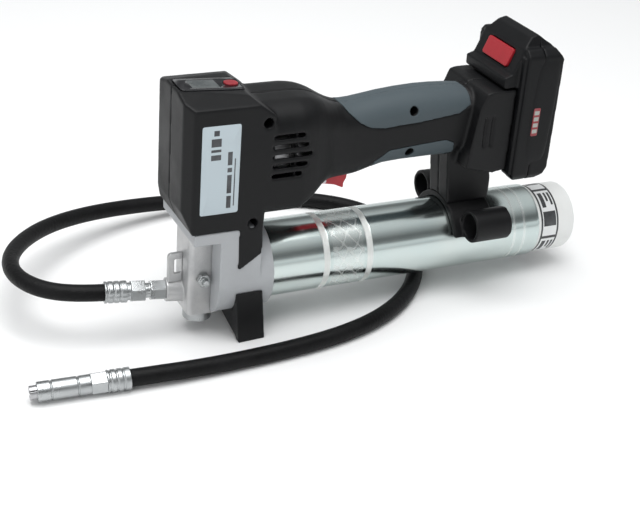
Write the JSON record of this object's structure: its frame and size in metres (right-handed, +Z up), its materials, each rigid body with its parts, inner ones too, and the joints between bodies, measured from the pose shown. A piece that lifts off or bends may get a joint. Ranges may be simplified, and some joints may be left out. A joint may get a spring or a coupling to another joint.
{
  "type": "battery grease gun",
  "caption": "Hand-held battery grease gun: black housing with soft-grip handle, slide-on battery, screwed zinc barrel, grey pump head, foot and hose with coupler.",
  "frame": {"origin": "Middle of the gun, on the surface that it stands on, measured without the hose and its fittings.", "axes": "+X towards the battery, +Y towards the right-hand side of somebody holding it, +Z up."},
  "size_m": [0.4501, 0.2512, 0.203],
  "materials": {
    "housing_plastic": "satin, fine texture",
    "grip_rubber": "soft touch",
    "black_screw": "blackened",
    "panel_gloss": "gloss",
    "display_grey": "semi-gloss",
    "red_plastic": "satin",
    "circuit_board": "lacquered",
    "plain_steel": "machined",
    "black_nylon": "moulded",
    "seal_rubber": "moulded",
    "bare_casting": "satin cast",
    "zinc_steel": "zinc plated",
    "painted_casting": "satin light grey",
    "zinc_barrel": "bright zinc",
    "white_plastic": "translucent white",
    "battery_plastic": "satin, fine texture",
    "cell_wrap": "shrink sleeve",
    "contact_brass": "plated",
    "hose_rubber": "smooth cover"
  },
  "bodies": {
    "gun": {"housing_left": "housing_plastic", "housing_right": "housing_plastic", "grip_left": "grip_rubber", "grip_right": "grip_rubber", "housing_screws": "black_screw", "display_panel": "panel_gloss", "display_window": "display_grey", "display_board": "circuit_board", "motor_can": "plain_steel", "motor_bearings": "plain_steel", "ring_gear": "plain_steel", "gearbox_rear_plate": "plain_steel", "gearbox_front_plate": "plain_steel", "crank_bearing": "plain_steel", "guide_rods": "plain_steel", "plunger_seal": "seal_rubber", "strap_lug": "bare_casting", "pump_block": "bare_casting", "pump_plug": "zinc_steel", "check_ball": "plain_steel", "check_spring": "plain_steel", "head_casting": "painted_casting", "barrel_seal": "seal_rubber", "trigger_pin": "plain_steel", "trigger_switch": "black_nylon", "trigger_spring": "plain_steel", "control_board": "circuit_board", "nozzle_holder": "housing_plastic", "holder_screws": "black_screw", "receiver_contacts": "contact_brass", "foot": "housing_plastic", "foot_screws": "black_screw", "outlet_adapter": "zinc_steel", "hose_nut": "zinc_steel", "ferrule_front": "zinc_steel", "hose": "hose_rubber", "ferrule_back": "zinc_steel", "end_hex": "zinc_steel", "coupler_body": "zinc_steel", "coupler_jaws": "plain_steel"},
    "battery": {"battery_front_shell": "battery_plastic", "battery_rear_shell": "battery_plastic", "battery_cells": "cell_wrap"},
    "release": {"release_button": "red_plastic"},
    "power": {"power_button": "red_plastic"},
    "trigger": {"trigger": "red_plastic"},
    "barrel": {"barrel": "zinc_barrel"},
    "cartridge": {"cartridge": "white_plastic"},
    "follower": {"follower_piston": "seal_rubber"},
    "rotor": {"rotor": "plain_steel", "sun_gear": "plain_steel", "fan": "black_nylon"},
    "carrier": {"carrier_crank": "plain_steel", "crank_roller": "plain_steel"},
    "planet_1": {"planet_gear_1": "plain_steel"},
    "planet_2": {"planet_gear_2": "plain_steel"},
    "planet_3": {"planet_gear_3": "plain_steel"},
    "plunger": {"yoke": "plain_steel", "plunger": "plain_steel"},
    "bleed_screw": {"bleed_screw": "zinc_steel"}
  },
  "joints": [
    {"name": "trigger_pull", "type": "hinge", "parent": "gun", "child": "trigger", "pos_m": [-0.03853, 0, 0.10723], "axis": [0, -1, 0], "range_deg": [0, 10], "deforming": ["trigger_spring"]},
    {"name": "power_press", "type": "slide", "parent": "gun", "child": "power", "axis": [-0.1039, 0, -0.9946], "range_m": [0, 0.001]},
    {"name": "battery_slide", "type": "slide", "parent": "gun", "child": "battery", "axis": [0.041, 0, 0.9992], "range_m": [0, 0.078]},
    {"name": "release_press", "type": "slide", "parent": "battery", "child": "release", "axis": [0.9064, 0, -0.4225], "range_m": [0, 0.003]},
    {"name": "barrel_turn", "type": "hinge", "parent": "cartridge", "child": "barrel", "pos_m": [-0.08553, 0, 0.0471], "axis": [0.9992, 0, -0.041], "range_deg": [0, 1800]},
    {"name": "cartridge_advance", "type": "slide", "parent": "gun", "child": "cartridge", "axis": [0.9992, 0, -0.041], "range_m": [0, 0.01]},
    {"name": "follower_slide", "type": "slide", "parent": "cartridge", "child": "follower", "axis": [-0.9992, 0, 0.041], "range_m": [0, 0.215]},
    {"name": "rotor_spin", "type": "hinge", "parent": "gun", "child": "rotor", "pos_m": [-0.08185, 0, 0.13703], "axis": [0.9992, 0, -0.041], "continuous": true},
    {"name": "carrier_spin", "type": "hinge", "parent": "gun", "child": "carrier", "pos_m": [-0.08185, 0, 0.13703], "axis": [0.9992, 0, -0.041], "continuous": true},
    {"name": "planet_1_spin", "type": "hinge", "parent": "carrier", "child": "planet_1", "pos_m": [-0.10134, 0, 0.14984], "axis": [0.9992, 0, -0.041], "continuous": true},
    {"name": "planet_2_spin", "type": "hinge", "parent": "carrier", "child": "planet_2", "pos_m": [-0.10207, -0.01039, 0.13185], "axis": [0.9992, 0, -0.041], "continuous": true},
    {"name": "planet_3_spin", "type": "hinge", "parent": "carrier", "child": "planet_3", "pos_m": [-0.10207, 0.01039, 0.13185], "axis": [0.9992, 0, -0.041], "continuous": true},
    {"name": "plunger_stroke", "type": "slide", "parent": "gun", "child": "plunger", "axis": [0.041, 0, 0.9992], "range_m": [-0.007, 0.007]},
    {"name": "bleed_screw_turn", "type": "hinge", "parent": "gun", "child": "bleed_screw", "pos_m": [-0.13353, -0.015, 0.04807], "axis": [0, -1, 0], "range_deg": [-360, 0]}
  ],
  "couplings": [
    {"joint": "cartridge_advance", "follows": "barrel_turn", "m_per_rad": 0.00031831},
    {"joint": "carrier_spin", "follows": "rotor_spin", "ratio": 0.2},
    {"joint": "planet_1_spin", "follows": "rotor_spin", "ratio": -0.53333},
    {"joint": "planet_2_spin", "follows": "rotor_spin", "ratio": -0.53333},
    {"joint": "planet_3_spin", "follows": "rotor_spin", "ratio": -0.53333}
  ]
}
